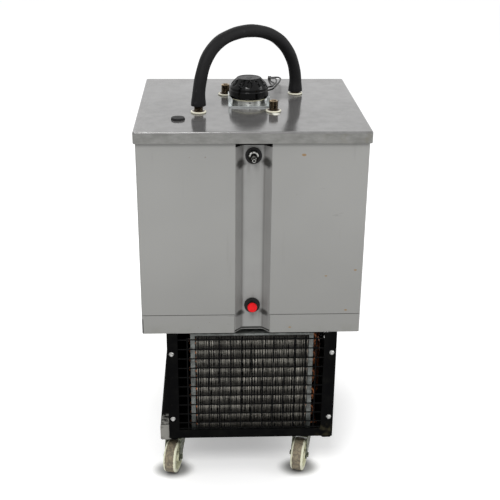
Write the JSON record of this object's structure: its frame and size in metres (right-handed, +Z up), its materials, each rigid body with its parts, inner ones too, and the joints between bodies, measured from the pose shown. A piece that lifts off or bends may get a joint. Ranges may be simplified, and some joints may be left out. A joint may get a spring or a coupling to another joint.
{
  "type": "water bath chiller",
  "caption": "Floor-standing water bath chiller on swivel castors: insulated square steel tank, agitator and hose arch on the lid, pipe recess in front, wire-fronted condensing unit below.",
  "frame": {"origin": "floor level under the middle of the lid", "axes": "+Z up, -Y towards the front with the pipe recess and the wire grille, +X to the right seen from the front"},
  "size_m": [0.508, 0.5214, 1.0545],
  "materials": {
    "black_paint": "satin",
    "black_wire": "satin",
    "zinc": "satin",
    "galvanised": "matte",
    "fins": "satin",
    "copper": "satin",
    "dark_paint": "satin",
    "black_plastic": "matte",
    "gloss_black": "gloss",
    "navy_plastic": "satin",
    "grey_plastic": "matte",
    "rubber": "matte",
    "zinc_olive": "matte",
    "grey_paint": "satin",
    "steel": "brushed",
    "coil_steel": "polished",
    "chrome": "polished",
    "brass": "worn",
    "red_plastic": "gloss",
    "foam": "matte",
    "silver_zinc": "satin",
    "cream_plastic": "satin",
    "black_foam": "matte"
  },
  "bodies": {
    "chassis": {"base_frame": "black_paint", "base_floor": "black_paint", "grille_frame": "black_paint", "left_cover": "black_paint", "right_cover": "black_paint", "rear_cover": "black_paint", "wire_grille": "black_wire", "grille_screws": "zinc", "condenser_frame": "galvanised", "condenser_fins": "fins", "condenser_tubes": "copper", "fan_shroud": "dark_paint", "fan_motor": "dark_paint", "compressor": "black_paint", "terminal_cover": "black_plastic", "compressor_feet": "rubber", "filter_drier": "copper", "refrigerant_lines": "copper", "run_capacitor": "navy_plastic", "control_box": "grey_plastic", "mains_gland": "black_plastic", "castor_plates": "zinc_olive", "bottom_pan": "grey_paint", "left_casing": "grey_paint", "right_casing": "grey_paint", "recess_channel": "grey_paint", "inner_tank": "steel", "insulation": "foam", "evaporator_coil": "coil_steel", "fitting_grommets": "rubber", "overflow_spout": "chrome", "drain_stub": "rubber", "lid_seal": "rubber"},
    "fan": {"fan_blades": "fins"},
    "knob": {"thermostat_knob": "black_plastic"},
    "drain_closure": {"drain_cap": "red_plastic"},
    "lid_unit": {"lid": "steel", "lid_foam": "foam", "motor_bracket": "zinc", "motor_pot": "silver_zinc", "motor_cap": "gloss_black", "lead_grommet": "rubber", "motor_wires": "black_plastic", "coil_nipples": "brass", "lower_nuts": "brass", "collar_nuts": "cream_plastic", "link_hose": "rubber", "hose_lagging": "black_foam", "product_coils": "coil_steel"},
    "agitator": {"agitator_shaft": "coil_steel", "impeller": "cream_plastic"},
    "plug": {"lid_plug": "rubber"},
    "front_left_caster_fork": {"front_left_fork": "zinc_olive"},
    "front_left_caster_wheel": {"front_left_wheel": "cream_plastic"},
    "front_right_caster_fork": {"front_right_fork": "zinc_olive"},
    "front_right_caster_wheel": {"front_right_wheel": "cream_plastic"},
    "rear_left_caster_fork": {"rear_left_fork": "zinc_olive"},
    "rear_left_caster_wheel": {"rear_left_wheel": "cream_plastic"},
    "rear_right_caster_fork": {"rear_right_fork": "zinc_olive"},
    "rear_right_caster_wheel": {"rear_right_wheel": "cream_plastic"}
  },
  "joints": [
    {"name": "fan_spin", "type": "hinge", "parent": "chassis", "child": "fan", "pos_m": [0.0035, -0.138, 0.2425], "axis": [0, 1, 0], "continuous": true},
    {"name": "thermostat_turn", "type": "hinge", "parent": "chassis", "child": "knob", "pos_m": [0.131, 0.238, 0.345], "axis": [0, 1, 0], "range_deg": [0, 270]},
    {"name": "drain_cap_pull", "type": "slide", "parent": "chassis", "child": "drain_closure", "axis": [0, -1, 0], "range_m": [0, 0.04]},
    {"name": "lid_lift", "type": "slide", "parent": "chassis", "child": "lid_unit", "axis": [0, 0, 1], "range_m": [0, 0.36]},
    {"name": "agitator_spin", "type": "hinge", "parent": "lid_unit", "child": "agitator", "pos_m": [0, 0, 0.8], "axis": [0, 0, 1], "continuous": true},
    {"name": "plug_pull", "type": "slide", "parent": "lid_unit", "child": "plug", "axis": [0, 0, 1], "range_m": [0, 0.03]},
    {"name": "front_left_swivel", "type": "hinge", "parent": "chassis", "child": "front_left_caster_fork", "pos_m": [-0.18, -0.184, 0.09], "axis": [0, 0, 1], "continuous": true},
    {"name": "front_left_roll", "type": "hinge", "parent": "front_left_caster_fork", "child": "front_left_caster_wheel", "pos_m": [-0.18823, -0.21699, 0.04], "axis": [0.9703, -0.2419, 0], "continuous": true},
    {"name": "front_right_swivel", "type": "hinge", "parent": "chassis", "child": "front_right_caster_fork", "pos_m": [0.134, -0.184, 0.09], "axis": [0, 0, 1], "continuous": true},
    {"name": "front_right_roll", "type": "hinge", "parent": "front_right_caster_fork", "child": "front_right_caster_wheel", "pos_m": [0.12406, -0.21651, 0.04], "axis": [0.9563, -0.2924, 0], "continuous": true},
    {"name": "rear_left_swivel", "type": "hinge", "parent": "chassis", "child": "rear_left_caster_fork", "pos_m": [-0.18, 0.176, 0.09], "axis": [0, 0, 1], "continuous": true},
    {"name": "rear_left_roll", "type": "hinge", "parent": "rear_left_caster_fork", "child": "rear_left_caster_wheel", "pos_m": [-0.16837, 0.14405, 0.04], "axis": [0.9397, 0.342, 0], "continuous": true},
    {"name": "rear_right_swivel", "type": "hinge", "parent": "chassis", "child": "rear_right_caster_fork", "pos_m": [0.134, 0.176, 0.09], "axis": [0, 0, 1], "continuous": true},
    {"name": "rear_right_roll", "type": "hinge", "parent": "rear_right_caster_fork", "child": "rear_right_caster_wheel", "pos_m": [0.14337, 0.20868, 0.04], "axis": [-0.9613, 0.2756, 0], "continuous": true}
  ]
}
